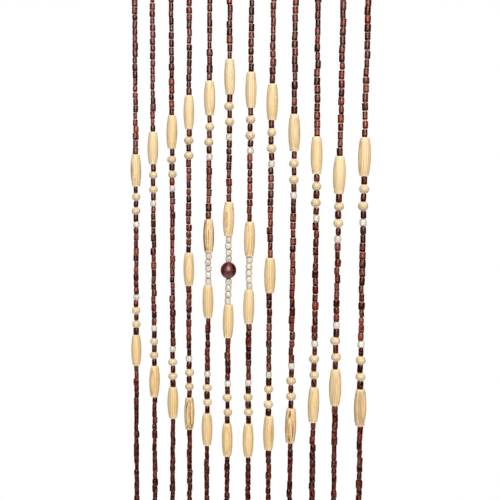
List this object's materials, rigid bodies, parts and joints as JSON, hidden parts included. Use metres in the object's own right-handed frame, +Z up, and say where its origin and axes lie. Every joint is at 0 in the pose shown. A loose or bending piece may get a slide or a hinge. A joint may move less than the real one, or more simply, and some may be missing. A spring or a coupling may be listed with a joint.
{
  "type": "bead curtain",
  "caption": "Hanging panel of strung wooden bead strands under a narrow heading strip, with pale olive and round beads set in a diamond among red-brown tube beads.",
  "frame": {"origin": "middle of the heading strip's top edge, where the curtain is held", "axes": "+Z up, +X to the right as seen from the front, -Y the front; the strands hang down -Z and the panel lies in the plane Y = 0"},
  "size_m": [0.3, 0.0152, 1.8],
  "materials": {
    "stained_wood": "red-brown stained and lightly glossed, with pale natural wood, off-white and dark burgundy beads among it"
  },
  "bodies": {
    "root": {"bead_strands": "stained_wood"}
  },
  "joints": []
}
